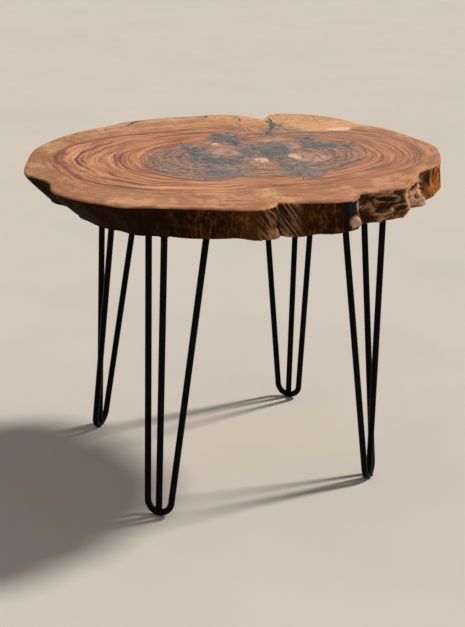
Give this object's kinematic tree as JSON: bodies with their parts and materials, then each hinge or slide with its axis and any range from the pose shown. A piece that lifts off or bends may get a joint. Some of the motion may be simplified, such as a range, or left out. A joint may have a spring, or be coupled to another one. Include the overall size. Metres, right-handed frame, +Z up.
{
  "type": "coffee table",
  "caption": "Low coffee table: a thick live-edge slice of a log, its heart voids filled with dark resin, standing on black steel hairpin legs screwed under it by plates.",
  "frame": {"origin": "on the floor, under the centre of the slab's bounding box", "axes": "+Z up, +X along the slab's length, -Y towards the front of the table"},
  "size_m": [0.698, 0.584, 0.5073],
  "materials": {
    "slab_wood": "oiled, satin",
    "resin": "slate-grey tinted resin, sanded flush and oiled",
    "leg_steel": "black powder coat, satin",
    "screw_steel": "black zinc"
  },
  "bodies": {
    "root": {"slab_top": "slab_wood", "resin_fill_left": "resin", "resin_fill_centre": "resin", "resin_fill_front": "resin", "resin_fill_right": "resin", "resin_fill_rear": "resin", "resin_fill_crack": "resin", "leg_front_left_hairpin": "leg_steel", "leg_front_left_brace": "leg_steel", "leg_front_left_plate": "leg_steel", "leg_front_left_screw_1": "screw_steel", "leg_front_left_screw_2": "screw_steel", "leg_front_left_screw_3": "screw_steel", "leg_front_left_screw_4": "screw_steel", "leg_front_right_hairpin": "leg_steel", "leg_front_right_brace": "leg_steel", "leg_front_right_plate": "leg_steel", "leg_front_right_screw_1": "screw_steel", "leg_front_right_screw_2": "screw_steel", "leg_front_right_screw_3": "screw_steel", "leg_front_right_screw_4": "screw_steel", "leg_rear_right_hairpin": "leg_steel", "leg_rear_right_brace": "leg_steel", "leg_rear_right_plate": "leg_steel", "leg_rear_right_screw_1": "screw_steel", "leg_rear_right_screw_2": "screw_steel", "leg_rear_right_screw_3": "screw_steel", "leg_rear_right_screw_4": "screw_steel", "leg_rear_left_hairpin": "leg_steel", "leg_rear_left_brace": "leg_steel", "leg_rear_left_plate": "leg_steel", "leg_rear_left_screw_1": "screw_steel", "leg_rear_left_screw_2": "screw_steel", "leg_rear_left_screw_3": "screw_steel", "leg_rear_left_screw_4": "screw_steel"}
  },
  "joints": []
}
